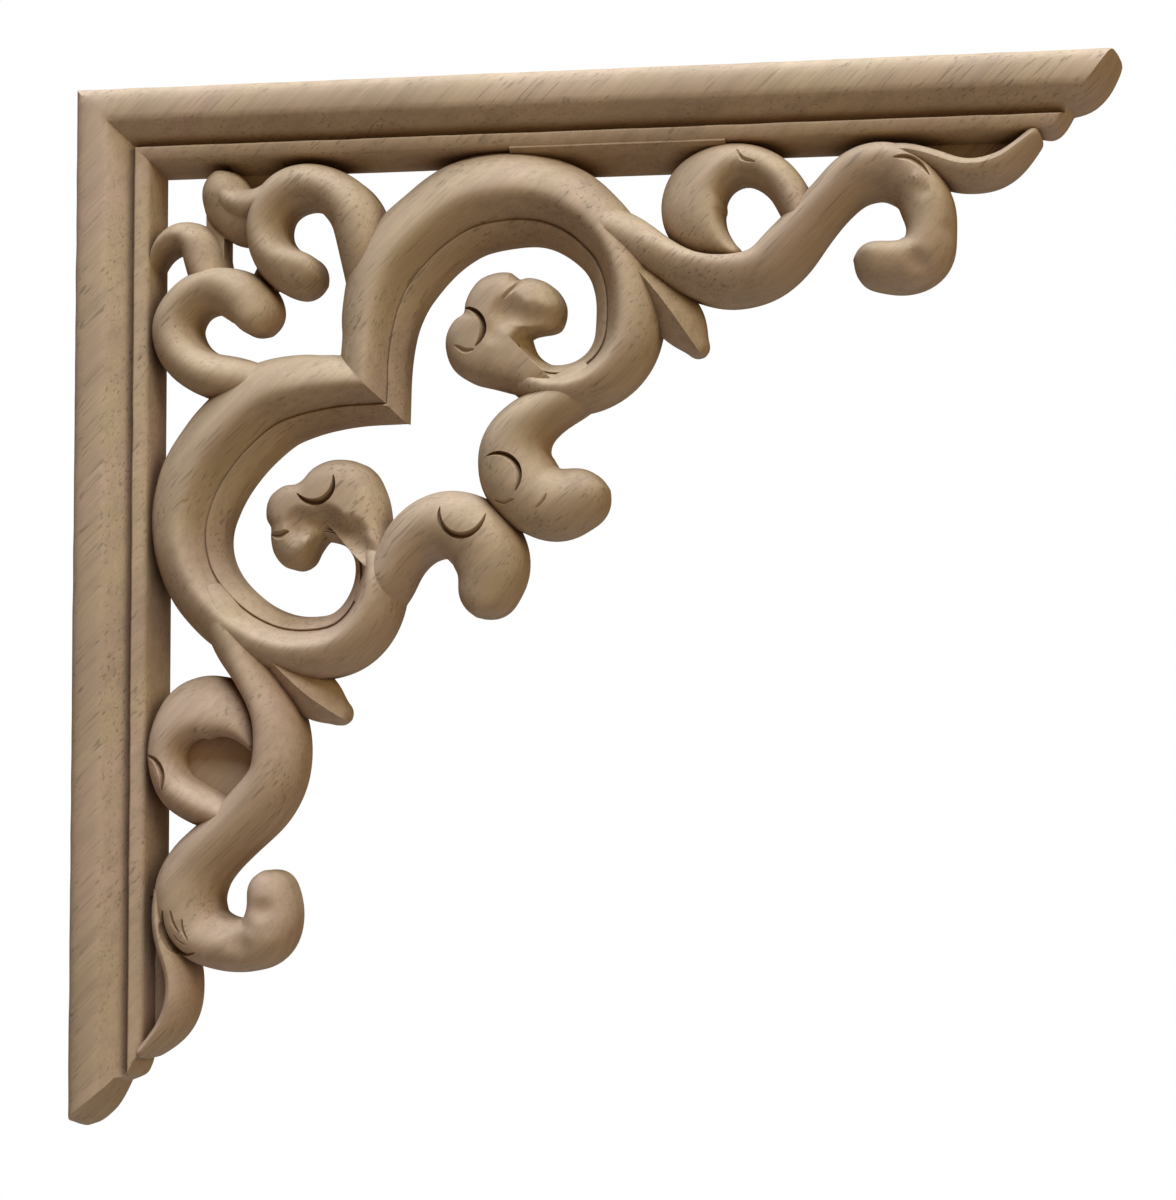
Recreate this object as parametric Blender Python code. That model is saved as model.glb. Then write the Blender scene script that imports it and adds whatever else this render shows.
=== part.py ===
"""A carved wooden corner bracket: two mitred, moulded arms with a heart and scrolls between them.

The board stands upright in the XZ plane with its back on y = 0 and its carved face toward -Y.
The arms run along +X and -Z from the corner, and the origin lies on the back at the corner
block's centre. The design mirrors over the diagonal, so the scrolls are drawn once, in the upper
half. Points in the drawing are millimetres to the right of and below the outer corner.
"""

import math

import bmesh
import bpy
from mathutils import Vector

MM = 0.001

# Driving dimensions of the board and the arms' moulding
ARM_LENGTH = 300 * MM
TOP_ARM_WIDTH = 23.4 * MM
SIDE_ARM_WIDTH = 21.9 * MM
BAND_HEIGHT = 20 * MM
FILLET_HEIGHT = 16 * MM
QUIRK_HEIGHT = 13.4 * MM
ORIGIN_INSET = 11 * MM

# How finely the scrolls are faceted
RING_STEP = 5.0
DOME_POINTS = 7
END_ANGLES = (35, 65, 82)

# The part of a scroll's height that stands as a straight wall under its dome
WALL_SHARE = 0.42

# The part of its dome that a scroll keeps at the very end, where it rounds off
END_DOME = 0.3

# Across the arm: distance from the outer edge and height, both in millimetres
ARM_PROFILE = (
    (0.0, 15.5), (0.8, 18.0), (2.6, 19.5), (6.0, BAND_HEIGHT / MM), (10.6, 19.4), (13.0, 17.0),
    (16.4, QUIRK_HEIGHT / MM), (17.2, FILLET_HEIGHT / MM), (20.9, FILLET_HEIGHT / MM), (21.5, 15.2),
)

# The heart's mitre, as the travel of each half's first ring, which lies along the mitre
TOP_MITRE = (1.07, -0.92)
SIDE_MITRE = (0.92, -1.07)

# Across the heart's band: place from the opening (-1) to the outer edge (1), and height
HEART_PROFILE = (
    (-0.84, 9.4), (-0.54, 9.8), (-0.50, 12.5), (-0.30, 15.2), (-0.08, 18.6), (0.05, 19.4),
    (0.30, 19.0), (0.62, 16.8), (0.88, 13.0), (1.0, 9.5),
)

# A scroll's rows are right, down, half width, crest height, and the crest's shift to the right-hand
# side of its travel. The side arm's scrolls give down before right, and are mirrored into place.
HEART = (
    (86.9, 88.3, 9.5, 19.4, 0), (87.4, 77, 9.6, 19.4, 0), (88.8, 66, 10.9, 19.4, 0),
    (91.8, 56, 12.2, 19.4, 0), (97.8, 48, 12.2, 19.4, 0), (105, 41.6, 12.2, 19.4, 0),
    (114.3, 36.2, 13.0, 19.4, 0), (126.5, 34.2, 13.2, 19.4, 0), (138, 35.8, 12.3, 19.4, 0),
    (147.5, 40.6, 11.4, 19.4, 0), (156, 49.6, 10.1, 19.4, 0), (159.9, 60, 9.5, 19.4, 0),
    (160.2, 69.3, 9.3, 19.4, 0), (158.6, 77, 8.7, 19.4, 0), (154.4, 83.2, 7.9, 19.4, 0),
    (148.2, 87.3, 7.2, 19.2, 0), (141.2, 88.8, 6.8, 18.8, 0), (134.4, 87.2, 6.4, 18, 0),
    (129, 82.6, 6, 17, 0), (127, 76, 5.4, 16, 0), (127, 70, 4.6, 15, 0),
)
SIDE_HEART = (
    (88.3, 86.9, 9.5, 19.4, 0), (88.4, 77, 10.2, 19.4, 0), (89.4, 66, 11.3, 19.4, 0), *HEART[3:],
)
BRANCH = (
    (137, 29.5, 4.5, 16, 0), (148.5, 34.6, 6, 19, 0), (159.5, 43.4, 6.2, 19.5, 0),
    (170, 53.2, 6.3, 19.5, -0.3), (179.6, 58.4, 6.1, 19.5, -0.5), (189.5, 60.3, 6.7, 19.5, -0.5),
    (199.8, 58.5, 7, 19.5, -0.4), (206.5, 52.4, 7.5, 19.5, -0.3), (212.8, 45, 6.7, 19.5, -0.2),
    (219.4, 37.8, 6.3, 19.5, 0), (226, 32, 7.1, 19.5, 0.1), (234.8, 30.3, 7.6, 19.5, 0.1),
    (243, 34.8, 7.3, 19, 0.1), (246.9, 44, 6.8, 18.5, 0.1), (246.2, 52.6, 7.0, 18, 0.1),
    (240.6, 57.2, 6.5, 17.5, 0.3), (232.3, 57.4, 5.8, 17, 0.3),
)
SIDE_BRANCH = (
    (137, 29.5, 4.5, 16, 0), (148.5, 34.6, 6, 19, 0), (159.5, 43.4, 6.2, 19.5, 0),
    (170, 53.2, 6.3, 19.5, -0.3), (179.6, 58.6, 6.1, 19.5, -0.5), (189.5, 60.6, 6.7, 19.5, -0.5),
    (199.8, 59.3, 7.2, 19.5, -0.4), (207.5, 54.2, 8.2, 19.5, -0.3), (214.5, 47, 8, 19.5, -0.2),
    (220.6, 39.4, 7.6, 19.5, 0), (227, 34, 8.2, 19.5, 0.1), (235.6, 32.2, 8.8, 19.5, 0.1),
    (244, 36.6, 8.2, 19, 0.1), (247.8, 46, 7.4, 18.5, 0.1), (245, 55.2, 7.6, 18, 0.1),
    (238.2, 58.2, 6.6, 17.5, 0.3), (232.6, 57.6, 5.9, 17, 0.3),
)
CURL = (
    (211, 46, 4.5, 18, 0), (207.5, 38, 5.3, 19, 0), (202.6, 30.6, 5.3, 19, 0), (195, 27, 5.4, 18.5, 0),
    (187, 28.2, 6.8, 18.5, -0.2), (180.6, 34.3, 9, 18.5, -0.4), (179.8, 42.5, 9.2, 18.5, -0.45),
    (183.8, 49, 6.6, 18, -0.4), (190.5, 52.6, 2.2, 16, 0),
)
LEAF = (
    (158, 50, 5, 15, 0), (167, 59.5, 6.6, 17, 0), (172.5, 66.5, 6.9, 16, 0), (176.8, 73, 6, 14, 0),
    (180.4, 78.8, 2.8, 11, 0),
)
WING = (
    (232, 26.4, 3, 17, 0), (240, 26.4, 3.1, 18.5, -0.1), (247, 29, 3.9, 18.5, -0.3),
    (253, 31.7, 4.1, 18.2, -0.35), (258.5, 32.5, 3.9, 18, -0.35), (264, 31.9, 4, 18, -0.4),
    (268.8, 29.7, 3.6, 17.6, -0.4), (272.4, 26.5, 3, 17.2, -0.4), (275.4, 22.8, 2.6, 16.8, 0),
)
SIDE_WING = (
    (232, 26.4, 3, 17, 0), (240, 26.4, 3.1, 18.5, -0.1), (247, 28.4, 3.9, 18.5, -0.3),
    (254, 31, 3.9, 18.2, -0.35), (260, 31.7, 3.7, 18, -0.35), (266, 31, 3.8, 18, -0.4),
    (271.4, 28.5, 3.6, 17.6, -0.4), (275.4, 24.9, 3, 17.2, -0.4), (278, 21.2, 2.6, 16.8, 0),
)
CORNER_SCROLL = (
    (87, 58, 5, 14, 0), (84.6, 47, 6.8, 18, 0), (81.2, 36.6, 7.2, 19, 0), (72, 29.8, 6.7, 19, 0),
    (63, 30, 6.8, 19, 0), (57.3, 35.2, 6, 19, 0), (55.6, 42.8, 5.2, 18.5, 0), (57.4, 48.6, 5.6, 18, 0.2),
    (61, 52.8, 6.2, 17.5, 0.3), (65, 54.6, 6.1, 17, 0.3),
)
SIDE_CORNER_SCROLL = (
    (87, 58, 5, 14, 0), (85.3, 47, 6.8, 18, 0), (83, 37.3, 6.6, 19, 0), (77.8, 30.3, 6.6, 19, 0),
    (69.5, 27.6, 6.5, 19, 0), (61.8, 31.8, 5.8, 19, 0), (58.4, 39.6, 6.3, 18.5, 0),
    (60, 46.8, 7.2, 18, 0.2), (62.7, 51, 7.5, 17.5, 0.3), (65.2, 52.6, 6.7, 17, 0.3),
)
CORNER_BUD = (
    (58, 37, 3.5, 15, 0), (51, 34.6, 4.6, 16.5, 0), (45.6, 32.4, 6.4, 17, 0), (42, 29.6, 7.1, 17, 0),
)
CORNER_LOOP = (
    (57, 38, 4.6, 16, 0), (50, 36, 4.7, 17, 0), (44.8, 34, 4.6, 17.5, 0), (41.8, 29, 4.3, 17.5, 0),
    (44, 24.2, 4, 17, 0), (48, 20.6, 3.4, 16, 0),
)
CENTRE_SCROLL = (
    (152, 86, 6, 14, 0), (145, 90.8, 6.8, 18, 0), (137.6, 95.2, 6.6, 19, 0),
    (131, 99.8, 8.3, 19.5, 0), (127.4, 106.4, 10.2, 19.5, 0), (128.7, 114.6, 10.9, 19.5, 0),
    (134.4, 121.1, 10.4, 19, 0), (141.2, 123.2, 9.9, 18, 0.1), (146.2, 121.8, 8, 17, 0.1),
)
SIDE_CENTRE_SCROLL = (
    (152, 86, 6, 14, 0), (145, 90.4, 7, 18, 0), (137.5, 94, 6.9, 19, 0), (130.2, 98.9, 8.6, 19.5, 0),
    (126.6, 106.4, 10, 19.5, 0), (128.4, 114.9, 10.4, 19.5, 0), (134.2, 121.4, 10.4, 19, 0),
    (141.6, 123.2, 9.8, 18, 0.1), (146.4, 122, 8.2, 17, 0.1),
)

# The lobed heads at the ends of the heart's band, drawn round their outlines
HEAD_HEART = (124.5, 71.5)
HEAD_OUTLINE = (
    (132, 88), (130.6, 90.4), (122, 88.2), (114.9, 86.2), (110, 83), (108.2, 78.5), (108.2, 73.5),
    (110.5, 69.6), (113.8, 67.6), (114.2, 64.6), (115.9, 60.6), (119, 57.4), (123.7, 55.8),
    (127.6, 56.2), (129.8, 58.4), (133.8, 58), (138.8, 60), (141.8, 64), (142.2, 68), (141, 71.4),
    (138.8, 72.8), (134.4, 73.4), (131.6, 73.8), (129.6, 76), (129.2, 80), (130.4, 84),
)
SIDE_HEAD_OUTLINE = (
    (132, 88), (127, 90), (120.7, 89), (115.6, 87.5), (111, 85.5), (108, 82.4), (106.7, 79),
    (106.8, 74.5), (108.9, 69.4), (112.2, 66.6), (114, 64.8), (114.6, 61.3), (117.4, 58.3),
    (121.6, 56.8), (125.6, 56.8), (128.2, 58.6), (131.6, 57.6), (136, 58), (139.2, 61), (139.4, 64.6),
    (137, 67.6), (133.6, 69), (130.4, 71.4), (128.8, 75), (128.8, 79.6), (130.4, 84),
)
HEAD_LEVELS = ((1, 0), (1, 8), (0.94, 12.5), (0.8, 15.8), (0.55, 17.2), (0.15, 17.2))

# Each arm is cut off in a scalloped leaf: the leaf's edge, as places measured back from the arm's end
# and across it, each with the run of its bevel back and across
TOP_TIP = (
    (24, 23.6, 0, 0), (22.4, 21.7, 0.6, 1), (19.6, 22.1, 0.8, 2.4), (17.4, 21.3, 1.6, 2.4),
    (15.4, 19.2, 2.4, 2), (13.4, 15.8, 3.6, 1), (10.4, 15.1, 3, 3.6), (7.6, 13.8, 3.4, 3.8),
    (5, 11.6, 3.8, 3.8), (3, 9, 3.9, 3.6), (1.4, 6, 3.7, 3.2), (0, 2.8, 3.4, 2.8), (0, 1, 3.3, 2.7),
    (-1, -1.5, 3.2, 2.6),
)
SIDE_TIP = (
    (24, 22.1, 0, 0), (21.4, 21.3, 0.8, 0.8), (19.6, 20.5, 1, 1.6), (17.4, 19.9, 1.6, 1.8),
    (14.6, 18.2, 2, 1.6), (12.7, 14, 3, 0.6), (10.4, 12.9, 2, 2), (7.6, 11.4, 2.6, 2.6),
    (5, 9.6, 3.2, 3.2), (3, 7.6, 3.6, 3.6), (1.4, 5.6, 3.8, 3.6), (0, 3, 3.6, 3.2), (0, 1, 3.5, 3),
    (-1, -1.5, 3.4, 2.8),
)
BEVEL_FOOT = 6
CUTTER_FOOT = -1
CUTTER_TOP = 21
CUTTER_WIDTH = 14

# The rounded outer corner of each arm's end: places measured back and across. The moulding runs a
# little past the end, and the leaf's cutter trims it.
TIP_CORNER = ((3.8, 0), (1.8, 0.4), (0.7, 1), (-0.5, 2.6))

# The point of the moulding's end that all its corners can see: its place across the arm and height
END_MIDDLE = (16.5, 4)

# A low web fills the corner between the curls, with a small square opening left in it
GROUND_HEART = (39, 38)
GROUND_OUTLINE = ((37, 31), (53, 31), (53, 43.5), (42.4, 43.5), (42.4, 53), (37, 53))
GROUND_LEVELS = ((1, 0), (1, 9))

# A low floor closes the hollow between the curl and the branch on the side arm
POCKET_HEART = (195.5, 43)
POCKET_OUTLINE = ((187, 33), (196, 28), (206, 33), (208, 44), (200, 55), (190, 55), (184, 44))
POCKET_LEVELS = ((1, 0), (1, 9))

# Webs along the arms' inner edges: their section, as down and height, and where they start and end.
# The side arm has the one behind its wing only.
WEBS = {
    "heart_web": (((19, 0), (19, 14.6), (21.4, 14.6), (27.8, 0)), (128, 190)),
    "bud_web": (((19, 0), (19, 12), (22, 12), (28, 8), (36, 8), (36, 0)), (47, 60)),
    "wing_web": (((19, 0), (19, 5), (30, 5), (30, 0)), (236, 272)),
}


def place(right, down, height):
    """The point of the board at a place in the drawing and a height over the back."""
    return Vector((right * MM - ORIGIN_INSET, -height * MM, ORIGIN_INSET - down * MM))


def mirrored(rings):
    """The same rings over the diagonal, in the lower half of the design."""
    return [[(down, right, height) for right, down, height in ring] for ring in rings]


def smooth_rows(rows, step):
    """Rows along a smooth curve through the given rows, about one step apart."""
    dense = []
    last = len(rows) - 1
    for i in range(last):
        a, b, c, d = rows[max(i - 1, 0)], rows[i], rows[i + 1], rows[min(i + 2, last)]
        count = max(1, round(math.dist(b[:2], c[:2]) / step))
        for k in range(count):
            t = k / count
            dense.append(tuple(
                0.5 * (2 * q + (r - p) * t + (2 * p - 5 * q + 4 * r - s) * t ** 2
                       + (3 * q - p - 3 * r + s) * t ** 3)
                for p, q, r, s in zip(a, b, c, d)))
    return dense + [tuple(rows[last])]


def headings(rows):
    """The unit direction of travel at each row."""
    result = []
    for i in range(len(rows)):
        before, after = rows[max(i - 1, 0)], rows[min(i + 1, len(rows) - 1)]
        across, along = after[0] - before[0], after[1] - before[1]
        length = math.hypot(across, along)
        result.append((across / length, along / length))
    return result


def dome_section(half, crest, shift):
    """Side and height pairs over a scroll, from its left wall to its right wall."""
    wall = WALL_SHARE * crest
    points = []
    for i in range(DOME_POINTS):
        angle = math.pi * (1 - i / (DOME_POINTS - 1))
        side = math.cos(angle)
        side += shift * (1 - side ** 2)
        points.append((side * half, wall + (crest - wall) * math.sin(angle)))
    return [(-half, 0)] + points + [(half, 0)]


def scroll_rings(rows):
    """Rings of a scroll along its smooth centre line, with a round end after the last row."""
    dense = smooth_rows(rows, RING_STEP)
    turns = headings(dense)
    tip, turn = dense[-1], turns[-1]
    for angle in END_ANGLES:
        reach, share = math.sin(math.radians(angle)), math.cos(math.radians(angle))
        wall = WALL_SHARE * tip[3]
        dense.append((tip[0] + turn[0] * tip[2] * reach, tip[1] + turn[1] * tip[2] * reach,
                      tip[2] * share,
                      wall + (tip[3] - wall) * (END_DOME + (1 - END_DOME) * share), tip[4]))
        turns.append(turn)
    rings = []
    for (right, down, half, crest, shift), (along, below) in zip(dense, turns):
        rings.append([(right - below * side, down + along * side, height)
                      for side, height in dome_section(half, crest, shift)])
    return rings


def heart_rings(rows, mitre):
    """Rings of the heart's band, the first one turned to the mitre."""
    dense = smooth_rows(rows, RING_STEP)
    turns = [mitre] + headings(dense)[1:]
    rings = []
    for (right, down, half, crest, _), (along, below) in zip(dense, turns):
        scale = crest / rows[0][3]
        section = [(-1, 0)] + [(side, height * scale) for side, height in HEART_PROFILE] + [(1, 0)]
        rings.append([(right + below * side * half, down - along * side * half, height)
                      for side, height in section])
    return rings


def arm_rings():
    """Rings of the two arms' moulding, mitred at the corner and rounded at the outer end corners."""
    section = [(0, 0, 0)] + [(across, across, height) for across, height in ARM_PROFILE]
    section.append((TOP_ARM_WIDTH / MM, SIDE_ARM_WIDTH / MM, 0))
    width = ARM_PROFILE[-1][0]
    top_arm, side_arm = [], []
    for back, inset in TIP_CORNER:
        along, share = ARM_LENGTH / MM - back, 1 - inset / width
        top_arm.append([(along, inset + top * share, height) for top, side, height in section])
        side_arm.append([(inset + side * share, along, height) for top, side, height in section])
    corner = [(side, top, height) for top, side, height in section]
    return side_arm[::-1] + [corner] + top_arm


def tip_cutter_rings(rows):
    """Rings of the cutter that leaves the top arm's leaf: a wall, a bevel over it, and the far side."""
    rings = []
    for back, across, run_back, run_across in rows:
        along = ARM_LENGTH / MM - back
        far = (along + CUTTER_WIDTH, across + CUTTER_WIDTH)
        rings.append([(along - run_back, across - run_across, CUTTER_TOP), (along, across, BEVEL_FOOT),
                      (along, across, CUTTER_FOOT), (*far, CUTTER_FOOT), (*far, CUTTER_TOP)])
    return rings


def web_rings(section, ends):
    """Rings of a web, one at each end."""
    return [[(right, down, height) for down, height in section] for right in ends]


def boss_rings(outline, heart, levels):
    """Rings that draw an outline in toward its heart, one for each share and height."""
    return [[(heart[0] + (right - heart[0]) * share, heart[1] + (down - heart[1]) * share, height)
             for right, down in outline] for share, height in levels]


def loft(name, rings, hearts=None):
    """A closed solid through the rings, as a hidden piece of the carving.

    Its two ends are flat, or fans round the two points given as hearts.
    """
    bm = bmesh.new()
    loops = [[bm.verts.new(place(*point)) for point in ring] for ring in rings]
    for first, second in zip(loops, loops[1:]):
        for i in range(len(first)):
            j = (i + 1) % len(first)
            bm.faces.new((first[i], first[j], second[j], second[i]))
    if hearts:
        for loop, heart in zip((loops[0], loops[-1]), hearts):
            middle = bm.verts.new(place(*heart))
            for i in range(len(loop)):
                bm.faces.new((loop[i], loop[(i + 1) % len(loop)], middle))
    else:
        bm.faces.new(loops[0])
        bm.faces.new(loops[-1])
    bmesh.ops.triangulate(bm, faces=bm.faces)
    bmesh.ops.recalc_face_normals(bm, faces=bm.faces)
    mesh = bpy.data.meshes.new(name)
    bm.to_mesh(mesh)
    bm.free()
    piece = bpy.data.objects.new(name, mesh)
    piece.hide_render = True
    piece.display_type = "WIRE"
    return piece


def wood():
    """Pale raw wood."""
    material = bpy.data.materials.new("raw_wood")
    material.use_nodes = True
    shader = material.node_tree.nodes["Principled BSDF"]
    shader.inputs["Base Color"].default_value = (0.38, 0.29, 0.18, 1)
    shader.inputs["Roughness"].default_value = 0.65
    shader.inputs["Metallic"].default_value = 0
    return material


def carving():
    """The hidden pieces that the carving is joined from."""
    heart = heart_rings(HEART, TOP_MITRE)
    side_heart = mirrored(heart_rings(SIDE_HEART, SIDE_MITRE))
    yield loft("heart", side_heart[:0:-1] + heart)
    scrolls = {
        "branch": (BRANCH, SIDE_BRANCH),
        "curl": (CURL, CURL),
        "leaf": (LEAF, LEAF),
        "wing": (WING, SIDE_WING),
        "corner_scroll": (CORNER_SCROLL, SIDE_CORNER_SCROLL),
        "corner_curl": (CORNER_BUD, CORNER_LOOP),
        "centre_scroll": (CENTRE_SCROLL, SIDE_CENTRE_SCROLL),
    }
    for name, (top_rows, side_rows) in scrolls.items():
        yield loft("top_" + name, scroll_rings(top_rows))
        yield loft("side_" + name, mirrored(scroll_rings(side_rows)))
    bosses = {
        "top_head": (boss_rings(HEAD_OUTLINE, HEAD_HEART, HEAD_LEVELS), HEAD_HEART),
        "side_head": (mirrored(boss_rings(SIDE_HEAD_OUTLINE, HEAD_HEART, HEAD_LEVELS)), HEAD_HEART[::-1]),
        "ground": (boss_rings(GROUND_OUTLINE, GROUND_HEART, GROUND_LEVELS), GROUND_HEART),
        "pocket": (mirrored(boss_rings(POCKET_OUTLINE, POCKET_HEART, POCKET_LEVELS)), POCKET_HEART[::-1]),
    }
    for name, (rings, heart_point) in bosses.items():
        top = max(height for _, _, height in rings[-1])
        yield loft(name, rings, ((*heart_point, 0), (*heart_point, top)))
    for name, (section, ends) in WEBS.items():
        yield loft(name, web_rings(section, ends))
    yield loft("side_wing_web", mirrored(web_rings(*WEBS["wing_web"])))


def combine(piece, others, operation):
    """Adds the step that joins all the others to the piece, or cuts them from it."""
    collection = bpy.data.collections.new(operation.lower())
    bpy.context.scene.collection.children.link(collection)
    for other in others:
        collection.objects.link(other)
    step = piece.modifiers.new(operation.lower(), "BOOLEAN")
    step.operation = operation
    step.solver = "EXACT"
    step.operand_type = "COLLECTION"
    step.collection = collection


for leftover in list(bpy.data.objects):
    bpy.data.objects.remove(leftover, do_unlink=True)

moulding = arm_rings()
length, (across, height) = moulding[-1][0][0], END_MIDDLE
bracket = loft("corner_bracket", moulding, ((across, length, height), (length, across, height)))
bracket.hide_render = False
bracket.display_type = "TEXTURED"
bracket.data.materials.append(wood())
bpy.context.scene.collection.objects.link(bracket)
combine(bracket, (loft("top_tip_cutter", tip_cutter_rings(TOP_TIP)),
                  loft("side_tip_cutter", mirrored(tip_cutter_rings(SIDE_TIP)))), "DIFFERENCE")
combine(bracket, carving(), "UNION")
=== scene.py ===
"""A corner bracket of raw carved wood, as it leaves the carver's bench.

Places in the drawing are millimetres to the right of and below the outer corner, and heights are
millimetres over the flat back. The lower half mirrors the upper half over the corner's diagonal.
"""

import math

import bmesh
import bpy
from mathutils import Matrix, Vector, noise
from mathutils.bvhtree import BVHTree


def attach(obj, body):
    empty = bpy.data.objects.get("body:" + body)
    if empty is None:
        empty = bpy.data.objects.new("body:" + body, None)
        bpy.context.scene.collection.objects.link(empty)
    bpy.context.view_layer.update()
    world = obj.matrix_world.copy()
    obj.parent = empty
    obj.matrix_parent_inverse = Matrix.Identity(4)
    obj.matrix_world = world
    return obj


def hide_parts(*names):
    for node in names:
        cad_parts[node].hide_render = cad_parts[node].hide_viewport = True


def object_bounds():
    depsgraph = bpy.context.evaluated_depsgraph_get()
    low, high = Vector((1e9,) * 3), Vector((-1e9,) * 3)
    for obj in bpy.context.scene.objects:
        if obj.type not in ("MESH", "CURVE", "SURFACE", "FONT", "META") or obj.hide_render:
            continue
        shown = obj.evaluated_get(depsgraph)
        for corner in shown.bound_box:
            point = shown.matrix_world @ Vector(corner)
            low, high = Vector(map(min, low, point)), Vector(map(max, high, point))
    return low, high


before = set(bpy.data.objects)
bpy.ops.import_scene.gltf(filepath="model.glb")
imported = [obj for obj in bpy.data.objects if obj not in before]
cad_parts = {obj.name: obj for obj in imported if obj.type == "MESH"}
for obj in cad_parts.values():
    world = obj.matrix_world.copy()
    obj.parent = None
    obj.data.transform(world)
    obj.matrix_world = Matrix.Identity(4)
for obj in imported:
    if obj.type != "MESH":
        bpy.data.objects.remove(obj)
solid_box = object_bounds()


# The two arms
# Each arm carries the same moulding, run along the board's outer edges: a broad rounded band, a slope
# down into a narrow groove, and a flat fillet inside it. They meet at the corner in a mitre, and the
# outer corner of each end is rounded off.
MM = 0.001
CORNER_INSET = 11
ARM_STEP = 2.5
END_CORNER = ((296.2, 0), (297.3, 0.13), (298.2, 0.4), (298.8, 0.65), (299.3, 1), (300.5, 2.6))
TOP_ARM_WIDTH = 24.2
SIDE_ARM_WIDTH = 22.5
SEAM = 0.000001
ARM_PROFILE = (
    (0, 15.2), (0.2, 16.8), (0.7, 18), (1.5, 18.9), (2.7, 19.5), (4.3, 19.85), (6.2, 20), (8.2, 19.95),
    (9.5, 19.7), (10.3, 19.2), (11.2, 18.3), (12.6, 16.9), (14.2, 15.3), (15.4, 13.9), (16.1, 12.7),
    (16.5, 12.2), (16.9, 12.6), (17.1, 14.8), (17.3, 15.6), (17.7, 16), (18.4, 15.95), (19.4, 15.5),
    (20.4, 15), (21, 14.5), (21.3, 14), (21.55, 13.2),
)


def place(right, down, height):
    """The point of the board at a place in the drawing and a height over the back."""
    return Vector((right - CORNER_INSET, -height, CORNER_INSET - down)) * MM


def blank(name, rings):
    """A closed piece whose skin passes through the rings: a grid laid on them, with its ends filled."""
    bpy.ops.object.select_all(action="DESELECT")
    bpy.ops.mesh.primitive_grid_add(x_subdivisions=len(rings[0]), y_subdivisions=len(rings) - 1)
    piece = bpy.context.object
    piece.name = name
    places = [place(*point) for ring in rings for point in ring + ring[:1]]
    piece.data.vertices.foreach_set("co", [value for spot in places for value in spot])
    bpy.ops.object.mode_set(mode="EDIT")
    bpy.ops.mesh.select_mode(type="EDGE")
    bpy.ops.mesh.select_all(action="SELECT")
    bpy.ops.mesh.remove_doubles(threshold=SEAM)
    bpy.ops.mesh.select_all(action="DESELECT")
    bpy.ops.mesh.select_non_manifold()
    bpy.ops.mesh.fill_holes(sides=0)
    bpy.ops.mesh.select_all(action="SELECT")
    bpy.ops.mesh.normals_make_consistent(inside=False)
    bpy.ops.object.mode_set(mode="OBJECT")
    return piece


def between(first, last, step):
    """Rings spaced evenly from the first ring up to the last, which is left out."""
    count = round(math.dist(first[0], last[0]) / step)
    return [[tuple(a + (b - a) * k / count for a, b in zip(p, q)) for p, q in zip(first, last)]
            for k in range(count)]


section = [(0, 0, 0)] + [(across, across, height) for across, height in ARM_PROFILE]
section.append((TOP_ARM_WIDTH, SIDE_ARM_WIDTH, 0))
corner = [(side, top, height) for top, side, height in section]
top_ends, side_ends = [], []
for along, inset in END_CORNER:
    share = 1 - inset / ARM_PROFILE[-1][0]
    top_ends.append([(along, inset + top * share, height) for top, side, height in section])
    side_ends.append([(inset + side * share, along, height) for top, side, height in section])
bracket = blank("carved_bracket", side_ends[:0:-1] + between(side_ends[0], corner, ARM_STEP)
                + between(corner, top_ends[0], ARM_STEP) + top_ends)


# The end leaves
# Each arm is cut off in a scalloped leaf of two lobes, with a steep bevel all along its edge. The
# rows are places of the edge along and across the arm, and the bevel's run back from them.
TOP_TIP = (
    ((276, 23.6, 0, 0), (277.6, 21.7, 0.6, 1)),
    ((277.6, 21.7, 0.6, 1), (280.4, 22.1, 0.8, 2.4), (282.6, 21.3, 1.6, 2.4), (284.6, 19.2, 2.4, 2),
     (286.6, 15.8, 3.6, 1)),
    ((286.6, 15.8, 3.6, 1), (289.6, 15.1, 3, 3.6), (292.4, 13.8, 3.4, 3.8), (295, 11.6, 3.8, 3.8),
     (297, 9, 3.9, 3.6), (298.6, 6, 3.7, 3.2), (299.6, 3.6, 3.5, 2.9), (300, 2, 3.4, 2.8)),
    ((300, 2, 3.4, 2.8), (300, 1, 3.3, 2.7), (301, -1.5, 3.2, 2.6), (301, -1.5, 3.2, 2.6)),
)
SIDE_TIP = (
    ((276, 22.1, 0, 0), (278.6, 21.3, 0.8, 0.8)),
    ((278.6, 21.3, 0.8, 0.8), (280.4, 20.5, 1, 1.6), (282.6, 19.9, 1.6, 1.8), (285.4, 18.2, 2, 1.6),
     (287.3, 14, 3, 0.6)),
    ((287.3, 14, 3, 0.6), (289.6, 12.9, 2, 2), (292.4, 11.4, 2.6, 2.6), (295, 9.6, 3.2, 3.2),
     (297, 7.6, 3.6, 3.6), (298.6, 5.6, 3.8, 3.6), (299.6, 3.8, 3.7, 3.3), (300, 2.2, 3.6, 3.2)),
    ((300, 2.2, 3.6, 3.2), (300, 1, 3.5, 3), (301, -1.5, 3.4, 2.8), (301, -1.5, 3.4, 2.8)),
)
TIP_STEP = 0.6
BEVEL_FOOT = 6
CUTTER_FOOT = -1
CUTTER_TOP = 21
CUTTER_WIDTH = 14


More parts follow.
